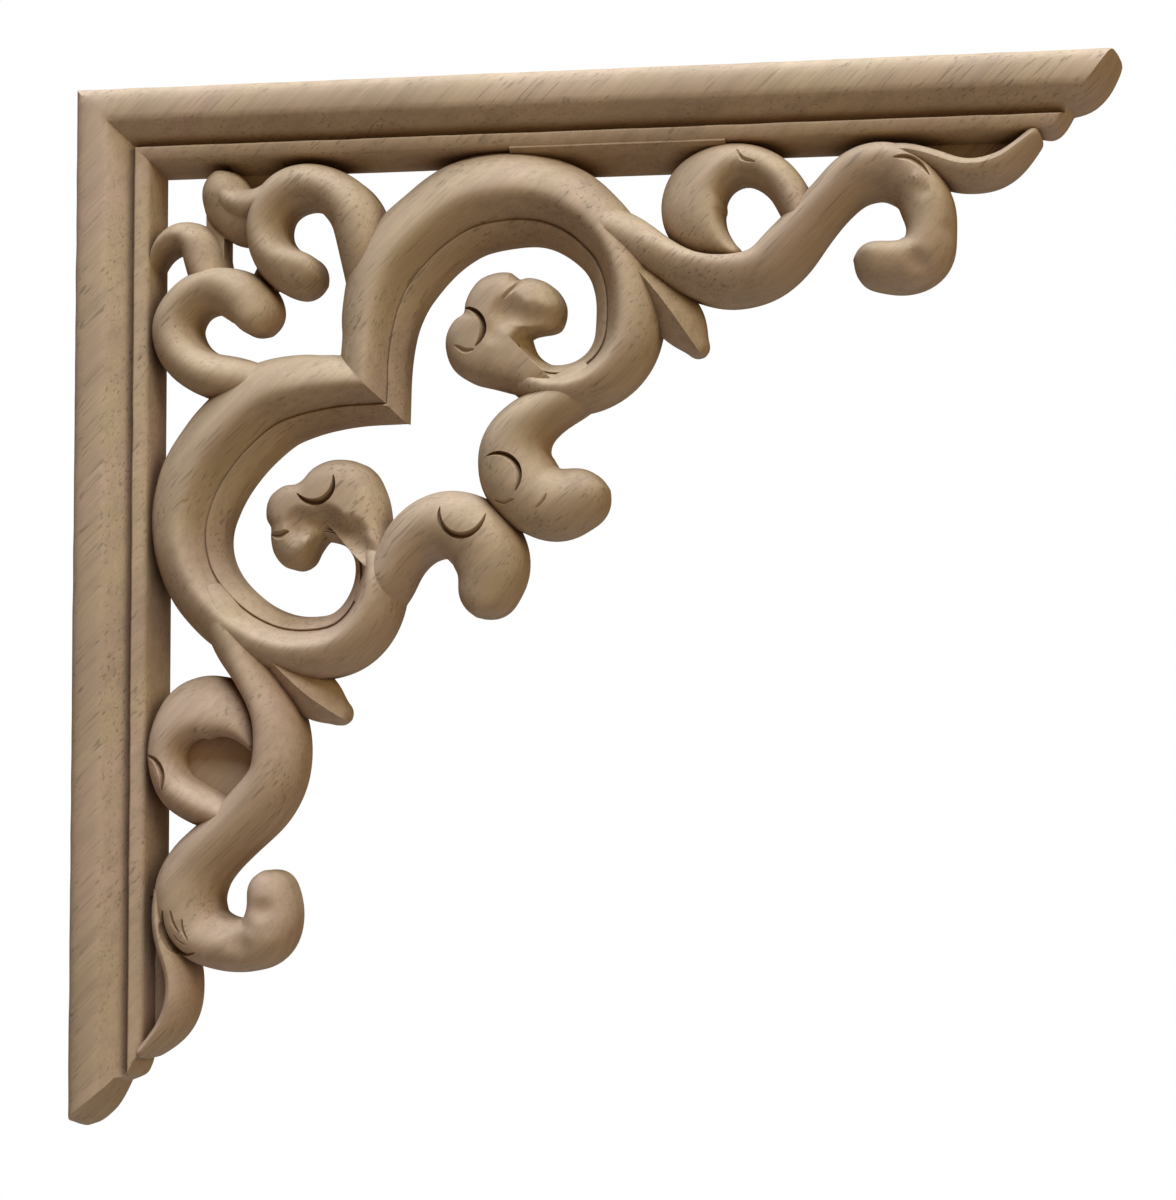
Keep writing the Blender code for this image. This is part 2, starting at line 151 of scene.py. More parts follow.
def smooth(rows, step, closed=False):
    """Rows along a smooth curve through the given rows, about one step apart."""
    dense = []
    last = len(rows) - 1
    for i in range(last + 1 if closed else last):
        if closed:
            a, b, c, d = rows[i - 1], rows[i], rows[(i + 1) % (last + 1)], rows[(i + 2) % (last + 1)]
        else:
            a, b, c, d = rows[max(i - 1, 0)], rows[i], rows[i + 1], rows[min(i + 2, last)]
        count = max(1, round(math.dist(b[:2], c[:2]) / step))
        for k in range(count):
            t = k / count
            dense.append(tuple(
                0.5 * (2 * q + (r - p) * t + (2 * p - 5 * q + 4 * r - s) * t ** 2
                       + (3 * q - p - 3 * r + s) * t ** 3)
                for p, q, r, s in zip(a, b, c, d)))
    return dense if closed else dense + [tuple(rows[last])]


def mirrored(rings):
    """The same rings over the diagonal, in the lower half of the design."""
    return [[(down, right, height) for right, down, height in ring] for ring in rings]


def tip_rings(lobes):
    """Rings of the cutter that leaves the top arm's leaf: a wall, a bevel over it, and the far side."""
    rings = []
    rows = [row for lobe in lobes for row in smooth(lobe, TIP_STEP)[:-1]]
    for along, across, run_along, run_across in rows:
        far = (along + CUTTER_WIDTH, across + CUTTER_WIDTH)
        rings.append([(along - run_along, across - run_across, CUTTER_TOP), (along, across, BEVEL_FOOT),
                      (along, across, CUTTER_FOOT), (*far, CUTTER_FOOT), (*far, CUTTER_TOP)])
    return rings


def combine(piece, others, operation):
    """Joins the others to the piece, or cuts them from it, and removes them."""
    for other in others:
        bpy.ops.object.select_all(action="DESELECT")
        bpy.context.view_layer.objects.active = piece
        piece.select_set(True)
        modifier = piece.modifiers.new("carve", "BOOLEAN")
        modifier.operation = operation
        modifier.solver = "MANIFOLD"
        modifier.object = other
        bpy.ops.object.modifier_apply(modifier=modifier.name)
        bpy.data.objects.remove(other, do_unlink=True)


combine(bracket, (blank("top_tip_cutter", tip_rings(TOP_TIP)),
                  blank("side_tip_cutter", mirrored(tip_rings(SIDE_TIP)))), "DIFFERENCE")


# The heart
# The pierced heart is one band that folds to a point at the corner side and curls in at both ends.
# From the opening outward it has a thin sloping ledge, a fine groove and a broad roll. Each row is a
# place of its centre line, half its width there and the height of its crest.
SCROLL_STEP = 0.9
EASE_PASSES = 8
TRACK_PASSES = 5
UNFOLD_ROUNDS = 30
MITRE_LENGTH = 17
LEDGE_TOP = 11.35
HEART_PROFILE = (
    (-1, 0), (-0.94, 5.6), (-0.9, 6.7), (-0.82, 8), (-0.7, 9.7), (-0.6, 11), (-0.56, LEDGE_TOP),
    (-0.53, 11.3), (-0.5, 10.8), (-0.47, 11.1), (-0.42, 12.2), (-0.35, 13.8), (-0.28, 15.3),
    (-0.2, 16.8), (-0.13, 17.9), (-0.06, 18.7), (0.02, 19.25), (0.1, 19.4), (0.2, 19.3), (0.31, 18.9),
    (0.42, 18.3), (0.53, 17.5), (0.64, 16.5), (0.74, 15.3), (0.83, 13.9), (0.9, 12.4), (0.96, 10.9),
    (1, 9.3), (1, 0),
)
HEART = (
    (86.9, 88.3, 9.5, 19.4), (87.4, 77, 9.6, 19.4), (88.9, 66, 11, 19.4), (92.2, 56.2, 12.6, 19.4),
    (98.2, 48.4, 12.8, 19.4), (105.4, 42.1, 12.8, 19.4), (114.5, 36.6, 13.4, 19.4), (126.5, 34.4, 13.4, 19.4),
    (138, 35.8, 12.3, 19.4), (147.5, 40.6, 11.4, 19.4), (156, 49.6, 10.1, 19.4), (160.1, 60, 9.7, 19.4),
    (160.9, 69.8, 9.9, 19.4), (159.5, 78, 9.4, 19.4), (155.3, 84.3, 8.7, 19.4), (148.8, 88.3, 7.9, 19.2),
    (141.2, 89.4, 7.2, 18.7), (134.4, 87.6, 6.6, 17), (129, 82.6, 6, 13.6), (127, 76, 5.4, 12),
    (127, 70, 4.6, 11.4),
)
SIDE_HEART = (
    (88.3, 86.9, 9.5, 19.4), (88.4, 77, 10.2, 19.4), (89.7, 66, 11.6, 19.4), (92.3, 56.2, 12.7, 19.4),
    (98.2, 48.4, 12.7, 19.4), (105.3, 41.7, 12.6, 19.4), (114.4, 35.8, 12.4, 19.4), (126.5, 32.4, 11.3, 19.4),
    (138, 33.7, 10.2, 19.4), (148.3, 39.2, 9.7, 19.4), (157.2, 49.4, 9.3, 19.4), (161.8, 60.2, 9.1, 19.4),
    (162.6, 70.2, 9.3, 19.4), (160.6, 78.4, 9.2, 19.4), (155.6, 84, 8.8, 19.4), (148.8, 87.3, 8.2, 19.2),
    (141.4, 88.3, 7.5, 18.2), (134.6, 86.9, 6.9, 14.4), (129, 82.2, 6.2, 10.8), (127, 76, 5.4, 9.6),
    (127, 70, 4.6, 9),
)


def eased(rows, passes):
    """The rows with their kinks evened out, and both ends kept."""
    for _ in range(passes):
        rows = rows[:1] + [
            tuple((p + 2 * q + r) / 4 for p, q, r in zip(a, b, c))
            for a, b, c in zip(rows, rows[1:], rows[2:])] + rows[-1:]
    return rows


def headings(rows):
    """The unit direction of travel at each row."""
    result = []
    for i in range(len(rows)):
        before, after = rows[max(i - 1, 0)], rows[min(i + 1, len(rows) - 1)]
        across, along = after[0] - before[0], after[1] - before[1]
        length = math.hypot(across, along)
        result.append((across / length, along / length))
    return result


def unfolded(rings, turns):
    """The rings, with each point that slips back behind the ring before it drawn forward, evened out."""
    for _ in range(UNFOLD_ROUNDS):
        slips = 0
        for i in range(1, len(rings) - 1):
            along, below = turns[i]
            for k, (right, down, height) in enumerate(rings[i]):
                before, after = rings[i - 1][k], rings[i + 1][k]
                if (right - before[0]) * along + (down - before[1]) * below < 0:
                    slips += 1
                    rings[i][k] = tuple((p + q) / 2 for p, q in zip(before, after))
        if not slips:
            break
    tracks = [eased(list(track), TRACK_PASSES) for track in zip(*rings)]
    return [list(ring) for ring in zip(*tracks)]


def heart_rings(rows):
    """Rings of the heart's band: the first lies along the mitre, and the next ones turn square.

    The ledge keeps its height to the end, and the roll sinks with the crest.
    """
    dense = eased(smooth(rows, SCROLL_STEP), EASE_PASSES)
    turns = headings(dense)
    rings = []
    travel = 0
    for i, ((right, down, half, crest), (along, below)) in enumerate(zip(dense, turns)):
        travel += math.dist(dense[i][:2], dense[max(i - 1, 0)][:2])
        skew = max(0, 1 - travel / MITRE_LENGTH)
        rise = (crest - LEDGE_TOP) / (rows[0][3] - LEDGE_TOP)
        rings.append([(right + (below + skew * along) * side * half,
                       down - (along - skew * below) * side * half,
                       min(height, LEDGE_TOP) + max(height - LEDGE_TOP, 0) * rise)
                      for side, height in HEART_PROFILE])
    return unfolded(rings, turns)


upper, lower = heart_rings(HEART), mirrored(heart_rings(SIDE_HEART))
carvings = [blank("heart", lower[:0:-1] + upper)]


# The scrolls
# Every scroll, branch and leaf is a stem with straight sides and a rounded top, cut down to the
# board's back, and its end is rounded off. Each row is a place of its centre line, half its width
# there, and the height of its crest and how far that lies to one side.
SECTION_POINTS = 19
END_ANGLES = tuple(range(8, 89, 8))
WALL_SHARE = 0.42
END_DOME = 0.3
BRANCH = (
    (145, 40, 3, 16, 0), (153, 43.2, 6, 19, 0), (161.4, 47.8, 7.2, 19.5, -0.1),
    (170, 53.2, 6.3, 19.5, -0.3), (179.6, 58.4, 6.1, 19.5, -0.5), (189.5, 60.5, 6.9, 19.5, -0.5),
    (199.8, 58.5, 7, 19.5, -0.4), (206.5, 52.4, 7.5, 19.5, -0.3), (212.8, 45, 6.7, 19.5, -0.2),
    (219.4, 37.8, 6.3, 19.5, -0.2), (226, 32, 7.1, 19.5, -0.3), (234.8, 30.3, 7.6, 19.5, -0.35),
    (243, 34.8, 7.4, 19, -0.3), (246.2, 41.6, 7.6, 18.6, -0.1), (247, 48.2, 6.6, 18, 0.1),
    (245.6, 54.2, 7.7, 17.8, 0.2), (240, 57.7, 7.2, 17.5, 0.4), (231.8, 56.9, 6.5, 17, 0.4),
)
SIDE_BRANCH = (
    (145, 40, 3, 16, 0), (153, 43.2, 6, 19, 0), (161.4, 47.8, 7.2, 19.5, -0.1),
    (170, 53.2, 6.3, 19.5, -0.3), (179.6, 58.6, 6.1, 19.5, -0.5), (189.5, 60.6, 6.7, 19.5, -0.5),
    (199.8, 59.3, 7.2, 19.5, -0.4), (207.5, 54.2, 8.2, 19.5, -0.3), (214.5, 47, 8, 19.5, -0.2),
    (220.6, 40.2, 8.3, 19.5, -0.2), (227, 34.8, 9, 19.5, -0.2), (235.6, 32.6, 9.3, 19.5, -0.2),
    (244.4, 36.8, 8.4, 19, -0.2), (248, 46.4, 7.6, 18.5, 0), (246, 55.2, 8.2, 18, 0.1),
    (238.4, 58.2, 7.2, 17.5, 0.3), (232.6, 57.4, 6.4, 17, 0.3),
)
CURL = (
    (211.6, 46, 5, 18, 0), (208.6, 38, 5.3, 19, 0), (203.4, 30.6, 5.4, 19, 0), (195.4, 26.8, 5.4, 18.5, 0),
    (187, 28.2, 6.8, 18.5, -0.2), (180.6, 34.3, 8.8, 18.5, -0.4), (179.8, 42.5, 8.9, 18.5, -0.45),
    (184.2, 49, 6.8, 18, -0.4), (191.2, 52.6, 2.6, 16, 0),
)
SIDE_CURL = (
    (211.4, 46, 4.9, 18, 0), (208.2, 37.8, 6, 19, 0), (203.4, 30, 6.1, 19, 0), (195, 26.7, 5.7, 18.5, 0),
    (187, 28.2, 6.8, 18.5, -0.2), (180.6, 34.3, 9, 18.5, -0.4), (179.8, 42.5, 9.2, 18.5, -0.45),
    (183.8, 49, 6.6, 18, -0.4), (190.5, 52.6, 2.2, 16, 0),
)
LEAF = (
    (158, 50, 5, 15, 0), (167, 59.5, 6.6, 17, 0), (172.5, 66.5, 7.2, 16, 0), (176.8, 72.6, 6.6, 14, 0),
    (180.2, 77.8, 3.4, 11, 0),
)
SIDE_LEAF = (
    (158, 50, 5, 15, 0), (167, 59.5, 6.6, 17, 0), (173.4, 66, 7, 16, 0), (178.4, 71.6, 6.4, 14, 0),
    (181.4, 76, 3.6, 11, 0),
)
WING = (
    (232, 26.4, 3, 17, 0), (240, 26.4, 3.1, 18.5, -0.1), (247, 29, 3.9, 18.5, -0.3),
    (253, 31.7, 4.1, 18.2, -0.35), (258.5, 32.5, 3.9, 18, -0.35), (264, 31.9, 4, 18, -0.4),
    (268.8, 29.7, 3.6, 17.6, -0.4), (272.4, 26.5, 3, 17.2, -0.4), (275.4, 22.8, 2.6, 16.8, 0),
)
SIDE_WING = (
    (232, 26.4, 3, 17, 0), (240, 26.4, 3.1, 18.5, -0.1), (247, 28.4, 3.9, 18.5, -0.3),
    (254, 31, 3.9, 18.2, -0.35), (260, 31.7, 3.7, 18, -0.35), (266, 31, 3.8, 18, -0.4),
    (271.4, 28.5, 3.6, 17.6, -0.4), (275.4, 24.9, 3, 17.2, -0.4), (278, 21.2, 2.6, 16.8, 0),
)
CORNER_SCROLL = (
    (85.4, 59, 6.6, 14, 0), (83.8, 47, 7.2, 18, 0), (80.9, 36.6, 7.4, 19, 0), (72, 29.6, 6.4, 19, 0),
    (63, 29.8, 6.4, 19, 0.1), (57, 35.2, 5.6, 19, 0.2), (55.4, 42.8, 5.4, 18.5, 0.3),
    (57, 48.9, 6.1, 18, 0.1), (60.8, 53.2, 6.8, 17.5, -0.25), (65.2, 55, 6.6, 17, -0.4),
)
SIDE_CORNER_SCROLL = (
    (87, 58, 5, 14, 0), (85.3, 47, 6.8, 18, 0), (83, 37.3, 6.6, 19, 0), (77.8, 30.3, 6.6, 19, 0),
    (69.5, 27.6, 6.5, 19, 0), (61.8, 31.8, 5.8, 19, 0.1), (58.4, 39.2, 6.3, 18.5, 0.2),
    (60.1, 46, 7.5, 18, 0.1), (62.2, 50.2, 8.1, 17.5, -0.15), (65, 51.7, 7.1, 17, -0.25),
)
CORNER_BUD = (
    (60, 37, 5, 15.4, 0.3), (53, 38, 6.8, 15.6, 0.5), (48, 37.6, 8.2, 15.6, 0.5), (44.4, 35, 8.4, 15.8, 0.4),
    (42.8, 31.2, 7.4, 16, 0.1), (42.6, 30.6, 7.2, 16, 0),
)
BUD_NECK = (
    (41.6, 27, 3, 14.4, 0), (43.6, 32, 5, 16.4, 0), (48.6, 34.8, 5.6, 17.2, 0), (54, 34.4, 5, 18.2, 0),
    (60, 30.8, 4.6, 19, 0),
)
CORNER_LOOP = (
    (58, 38.6, 5.6, 16, 0), (51, 36.8, 5.8, 17, 0.2), (45, 35.2, 5.9, 17.5, 0.1), (42.4, 30, 4.4, 17.5, 0),
    (45.6, 24, 2.6, 16, 0), (51.6, 20.8, 1.4, 13, 0), (58, 19.6, 0.8, 10, 0),
)
CENTRE_SCROLL = (
    (152, 86, 6, 14, 0), (145, 90.8, 6.8, 18, 0), (137.8, 95.4, 6.6, 19, 0),
    (131.7, 100.2, 7.9, 19.5, 0.1), (128.3, 106.6, 9.9, 19.5, 0.1), (129.2, 114.6, 10.8, 19.5, 0),
    (134.4, 120.9, 10.6, 19, 0), (141.2, 122.4, 10.6, 18, -0.1), (146.4, 121, 8.8, 17, -0.1),
)
SIDE_CENTRE_SCROLL = (
    (152, 86, 6, 14, 0), (145, 90.6, 7, 18, 0), (138, 94.4, 6.7, 19, 0), (131.6, 99.4, 8, 19.5, 0.1),
    (128, 106.4, 9.4, 19.5, 0.1), (129, 114.2, 10.4, 19.5, 0), (134.4, 120.1, 10.6, 19, 0),
    (141.8, 121.6, 10.1, 18, -0.1), (146.6, 120.4, 8.4, 17, -0.1),
)
SCROLLS = {
    "branch": (BRANCH, SIDE_BRANCH, 0),
    "curl": (CURL, SIDE_CURL, 0),
    "leaf": (LEAF, SIDE_LEAF, 0.8),
    "wing": (WING, SIDE_WING, 0.05),
    "corner_scroll": (CORNER_SCROLL, SIDE_CORNER_SCROLL, 0),
    "corner_curl": (CORNER_BUD, CORNER_LOOP, 0),
    "centre_scroll": (CENTRE_SCROLL, SIDE_CENTRE_SCROLL, 0),
}


def stem_section(half, crest, shift, ridge):
    """Side and height pairs over a stem, from its left wall to its right. A ridge of 1 has flat sides."""
    wall = WALL_SHARE * crest
    points = [(-half, 0)]
    for i in range(SECTION_POINTS):
        angle = math.pi * (1 - i / (SECTION_POINTS - 1))
        side = math.cos(angle)
        rise = (1 - ridge) * math.sin(angle) + ridge * (1 - abs(side))
        side += shift * (1 - side ** 2)
        points.append((side * half, wall + (crest - wall) * rise))
    return points + [(half, 0)]


def scroll_rings(rows, ridge):
    """Rings of a scroll along its smooth centre line, with a round end after the last row."""
    dense = eased(smooth(rows, SCROLL_STEP), EASE_PASSES)
    turns = headings(dense)
    end, turn = dense[-1], turns[-1]
    wall = WALL_SHARE * end[3]
    for angle in END_ANGLES:
        reach, share = math.sin(math.radians(angle)), math.cos(math.radians(angle))
        dense.append((end[0] + turn[0] * end[2] * reach, end[1] + turn[1] * end[2] * reach, end[2] * share,
                      wall + (end[3] - wall) * (END_DOME + (1 - END_DOME) * share), end[4]))
        turns.append(turn)
    rings = [[(right - below * side, down + along * side, height)
              for side, height in stem_section(half, crest, shift, ridge)]
             for (right, down, half, crest, shift), (along, below) in zip(dense, turns)]
    return unfolded(rings, turns)


for name, (top_rows, side_rows, ridge) in SCROLLS.items():
    carvings.append(blank("top_" + name, scroll_rings(top_rows, ridge)))
    carvings.append(blank("side_" + name, mirrored(scroll_rings(side_rows, ridge))))
carvings.append(blank("bud_neck", scroll_rings(BUD_NECK, 0)))


# The heads
# Each end of the heart's band opens into a lobed head, a cushion with notches between its lobes. Its
# inner side is scooped out: right, down, radius and depth of each scoop.
EDGE_STEP = 1.0
HEAD_STEP = 0.05
HEAD_RIM = 8
HEAD_MIDDLE = (124.5, 71.5)
HEAD_OUTLINE = (
    (143, 90.4), (137, 93), (130.6, 91.2), (122, 88.8), (114.9, 86.8), (110.4, 83.2), (108.6, 78.5),
    (108.8, 73.8), (110.9, 70), (113.8, 67.8), (114.4, 64.6), (116.1, 60.8), (119, 57.6), (123.7, 56),
    (127.6, 56.2), (129.8, 58.2), (133.8, 57.8), (138.8, 59.8), (141.8, 64), (142.2, 68), (141, 71.6),
    (138.8, 73), (134.8, 73.6), (132.4, 74.4), (130.6, 76.6), (130.4, 80), (132.4, 83.8), (137, 87.6),
)
HEAD_DIPS = ((128.6, 69, 6.5, 2.4), (135.5, 71.6, 6.5, 3), (141, 70.5, 4.5, 1.6))
SIDE_HEAD_OUTLINE = (
    (145, 92), (138, 94), (129, 91.6), (121.4, 90.4), (116.6, 88.8), (112.6, 86.6), (109.8, 83.2),
    (108.8, 79), (109, 74.5), (111, 70), (114.2, 67), (115.6, 64.4), (116, 61), (118.6, 57.4),
    (122, 55.9), (125.8, 55.9), (128.4, 57.2), (131.8, 57.2), (136, 58.2), (139.4, 61), (140.2, 64.8),
    (138.4, 68.2), (134.8, 70.2), (131.8, 72.6), (130.4, 75.8), (130.8, 79.8), (134, 83.8), (139, 86.8),
)
SIDE_HEAD_DIPS = ((127.5, 68, 5.5, 2.6), (129, 75, 7.5, 6), (131.5, 82, 7, 4.6), (136, 86.4, 5, 2))
HEAD_LEVELS = (
    (1, HEAD_RIM), (0.985, 9.8), (0.965, 11.4), (0.93, 13), (0.88, 14.5), (0.81, 15.8), (0.72, 16.7),
    (0.6, 17.3), (0.45, 17.6), (0.3, 17.7), (0.15, 17.7), (0.02, 17.7),
)


def dip(right, down, spots):
    """How far the carver's scoops lower a place."""
    reaches = [(math.hypot(right - a, down - b) / radius, depth) for a, b, radius, depth in spots]
    return sum(depth * (1 - reach ** 2) ** 2 for reach, depth in reaches if reach < 1)


def head_rings(outline, dips):
    """Rings that draw a head's outline in toward its middle, each higher than the last but for the dips."""
    edge = smooth(outline, EDGE_STEP, closed=True)
    rings = [[(right, down, 0) for right, down in edge]]
    for share, height in smooth(HEAD_LEVELS, HEAD_STEP):
        ring = []
        for right, down in edge:
            spot = [middle + (end - middle) * share for middle, end in zip(HEAD_MIDDLE, (right, down))]
            ring.append((*spot, max(height - dip(*spot, dips), min(height, HEAD_RIM))))
        rings.append(ring)
    return rings


carvings.append(blank("top_head", head_rings(HEAD_OUTLINE, HEAD_DIPS)))
carvings.append(blank("side_head", mirrored(head_rings(SIDE_HEAD_OUTLINE, SIDE_HEAD_DIPS))))


# The webs
# Low webs of the board's own wood are left where thin parts need them: round the small square hole
# at the corner, in the side arm's curl, where the corner scrolls touch, behind the wings, and as slopes
# along both arms. Then the pieces are joined into one skin with nothing left inside it, as the carving
# is a single board.
GROUND_OUTLINE = ((37, 31), (53, 31), (53, 43.5), (42.4, 43.5), (42.4, 53), (37, 53))
POCKET_OUTLINE = ((33, 187), (28, 196), (33, 206), (44, 208), (55, 200), (55, 190), (44, 184))
TOUCH_OUTLINE = ((50.4, 54.4), (53, 49.4), (59, 55.2), (55.6, 59.6))
WEB_HEIGHT = 9
TOUCH_HEIGHT = 6
HEART_WEB = (((19, 0), (19, 14.6), (21.4, 14.6), (22.4, 13.4), (27.8, 0)), (128, 190))
BUD_WEB = (((19, 0), (19, 12), (21.6, 11.4), (24.6, 4.6), (36, 4), (36, 0)), (44, 60))
WING_WEB = (((19, 0), (19, 5), (30, 5), (30, 0)), (236, 272))
SIDE_WEB = (((19, 0), (19, 12.4), (21.2, 12.4), (24.3, 0)), (134, 234))


def web_rings(section, ends):
    """Rings of a web, one at each end."""
    return [[(right, down, height) for down, height in section] for right in ends]


for name, outline, top in (("ground", GROUND_OUTLINE, WEB_HEIGHT), ("pocket", POCKET_OUTLINE, WEB_HEIGHT),
                           ("touch", TOUCH_OUTLINE, TOUCH_HEIGHT)):
    carvings.append(blank(name, [[(right, down, height) for right, down in outline]
                                 for height in (0, top)]))
for name, web in (("heart_web", HEART_WEB), ("bud_web", BUD_WEB), ("top_wing_web", WING_WEB)):
    carvings.append(blank(name, web_rings(*web)))
for name, web in (("side_web", SIDE_WEB), ("side_wing_web", WING_WEB)):
    carvings.append(blank(name, mirrored(web_rings(*web))))
combine(bracket, carvings, "UNION")


# The hollows
# The carver's bent gouge leaves shallow hollows on the heads, the bud and the ends of the scrolls:
# right, down, radius and depth, with a swelling where the depth is negative. The whole face also waves
# a little, as hand tools leave it, but not the flat back.
HOLLOWS = (
    (124.5, 74.5, 4.5, 0.6), (66.5, 131, 4, 0.9), (47.6, 30.4, 3.6, 1),
    (244, 57.6, 4.4, 1.6), (229.5, 53.5, 3, -0.5), (253.5, 48.4, 3.4, 1.3),
    (245.4, 38, 2.6, 0.9), (243.4, 34.6, 2.2, -0.7), (250, 59.5, 3.5, -0.5),
    (57.5, 237.5, 4.6, 1.4), (51, 247.6, 4.6, 1.2), (60, 247, 4, -0.6),
)
WAVE_SEED = 1
WAVE_LENGTH = 9
WAVE_HEIGHT = 0.13
BACK_DEPTH = 3

noise.seed_set(WAVE_SEED)
low, high = solid_box
for vertex in bracket.data.vertices:
    x, y, z = (value / MM for value in vertex.co)
    right, down, height = x + CORNER_INSET, CORNER_INSET - z, -y
    share = min(1, height / BACK_DEPTH)
    sway = noise.noise_vector(Vector((right, down, height)) / WAVE_LENGTH) * WAVE_HEIGHT
    sway.y += dip(right, down, HOLLOWS)
    vertex.co += sway * share * MM
    vertex.co = [min(max(value, a), b) for value, a, b in zip(vertex.co, low, high)]


# The eyes and cuts
# Each eye is stabbed round with a curved gouge and pared down to the stab, so that a dark crescent
# bounds it: its middle, its radius, the angles where the crescent starts and ends, clockwise from the
# right, and its width and depth. The rest are single strokes of a small gouge, shallow at both ends.
EYES = (
    (116, 72.8, 6.2, -100, 62, 2.2, 2.8), (72.3, 116.6, 6, -28, 156, 2.2, 2.8),
    (126, 115, 6.8, -125, 44, 2, 2.4), (115.2, 126.2, 6.7, -6, 204, 2, 2.2),
)
STROKES = (
    (((131.5, 57.6), (130.4, 60.5), (128.2, 63.2), (126.6, 65)), 1.1, 1.1),
    (((58.5, 130.6), (61.5, 131), (64.5, 129.8)), 1.4, 1.6),
    (((112.6, 77.6), (115.6, 79.4), (118.6, 79)), 1, 0.9),
    (((22.2, 193.6), (25.6, 195), (27.8, 198.8), (27.6, 204)), 1.2, 1.9),
    (((193.6, 24.6), (195.4, 27.6), (199, 28.6)), 0.9, 0.8),
    (((237.4, 28.8), (241.6, 28.8), (245, 30.8), (247.4, 34)), 1.3, 1.7),
    (((28.4, 237.5), (28.2, 243), (30.6, 247.8), (34, 250.2), (38, 249.6)), 1.2, 1.9),
    (((31, 237.6), (31.6, 241), (33.4, 244)), 0.7, 0.8),
    (((34.4, 240), (34.4, 243), (36, 246.2)), 0.7, 0.8),
    (((31.6, 244.4), (33, 246.4), (35.4, 247.4)), 0.6, 0.5),
    (((136.4, 124.6), (138.6, 122.6), (139.6, 120.4)), 0.6, 0.6),
    (((124, 121.6), (127, 122.8), (130.4, 121.8)), 0.8, 0.7),
)
CRESCENT_STEP = 0.45
CRESCENT_FADE = 0.55
CRESCENT_SECTION = ((0, -3), (0, -0.1), (0.1, 0.9), (0.3, 1), (0.6, 0.6), (1, -0.1), (1, -3))
STROKE_STEP = 0.5
STROKE_FADE = 0.6
STROKE_LIP = 0.1
STROKE_TOP = 3
FADE_INSET = 0.3
CLEAR_HEIGHT = 46
SMOOTH_ANGLE = math.radians(32)

skin = bmesh.new()
skin.from_mesh(bracket.data)
tree = BVHTree.FromBMesh(skin)
skin.free()


def surface(right, down):
    """The height of the carved face at a place in the drawing."""
    hit = tree.ray_cast(place(right, down, CLEAR_HEIGHT), Vector((0, 1, 0)))[0]
    return -hit.y / MM if hit else 0


def fading(step, count, power):
    """The share of its full size that a cut has at a step: nearly none at both ends."""
    return math.sin(math.pi * (step + FADE_INSET) / (count + 2 * FADE_INSET)) ** power


def crescent_rings(right, down, radius, first, last, width, depth):
    """Rings along an eye's crescent: a steep outer wall, a floor, and a slope up onto the eye.

    The section gives shares of the width inward, and shares of the depth below the face. A negative
    one is millimetres over it, where the cutter stands clear.
    """
    count = round(math.radians(last - first) * radius / CRESCENT_STEP)
    rings = []
    for k in range(count + 1):
        angle = math.radians(first + (last - first) * k / count)
        fade = fading(k, count, CRESCENT_FADE)
        ring = []
        for inset, sink in CRESCENT_SECTION:
            reach = radius - inset * width * fade
            spot = right + math.cos(angle) * reach, down + math.sin(angle) * reach
            ring.append((*spot, surface(*spot) - (sink * depth * fade if sink > 0 else sink)))
        rings.append(ring)
    return rings


def stroke_rings(points, half, depth):
    """Rings of a gouge's stroke: a V that follows the surface and fades at both ends."""
    dense = smooth(points, STROKE_STEP)
    rings = []
    for i, ((right, down), (along, below)) in enumerate(zip(dense, headings(dense))):
        fade = fading(i, len(dense) - 1, STROKE_FADE)
        level = surface(right, down)
        vee = ((-1, STROKE_TOP), (-1, STROKE_LIP), (0, -depth * fade), (1, STROKE_LIP), (1, STROKE_TOP))
        rings.append([(right - below * side * half * fade, down + along * side * half * fade, level + height)
                      for side, height in vee])
    return rings


cutters = [blank("eye_cutter", crescent_rings(*eye)) for eye in EYES]
cutters += [blank("stroke_cutter", stroke_rings(*stroke)) for stroke in STROKES]
combine(bracket, cutters, "DIFFERENCE")

bpy.ops.object.select_all(action="DESELECT")
bpy.context.view_layer.objects.active = bracket
bracket.select_set(True)
bpy.ops.object.shade_smooth_by_angle(angle=SMOOTH_ANGLE)


# The wood
# Pale hardwood, sanded and left raw. Its grain runs across the corner, from lower left to upper
# right, with short dark pores along it and broad bands of a pinker or greyer tone. Its creases and
# recesses are darkened and warmed with painted shade, from an ambient occlusion mask.
GRAIN_TURN = math.radians(45)
wood = bpy.data.materials.new("raw_wood")
wood.use_nodes = True
tree_nodes, tree_links = wood.node_tree.nodes, wood.node_tree.links
shader = tree_nodes["Principled BSDF"]
shader.inputs["Metallic"].default_value = 0
shader.inputs["Specular IOR Level"].default_value = 0.3
coordinates = tree_nodes.new("ShaderNodeTexCoord")


def stretched_noise(along, across, detail, roughness):
    """A noise drawn out along the grain, with its scale along and across it in cycles per metre."""
    turn = tree_nodes.new("ShaderNodeMapping")
    turn.vector_type = "POINT"
    turn.inputs["Rotation"].default_value = (0, GRAIN_TURN, 0)
    stretch = tree_nodes.new("ShaderNodeMapping")
    stretch.inputs["Scale"].default_value = (along, across, across)
    texture = tree_nodes.new("ShaderNodeTexNoise")
    texture.inputs["Scale"].default_value = 1
    texture.inputs["Detail"].default_value = detail
    texture.inputs["Roughness"].default_value = roughness
    tree_links.new(coordinates.outputs["Object"], turn.inputs["Vector"])
    tree_links.new(turn.outputs["Vector"], stretch.inputs["Vector"])
    tree_links.new(stretch.outputs["Vector"], texture.inputs["Vector"])
    return texture.outputs["Fac"]


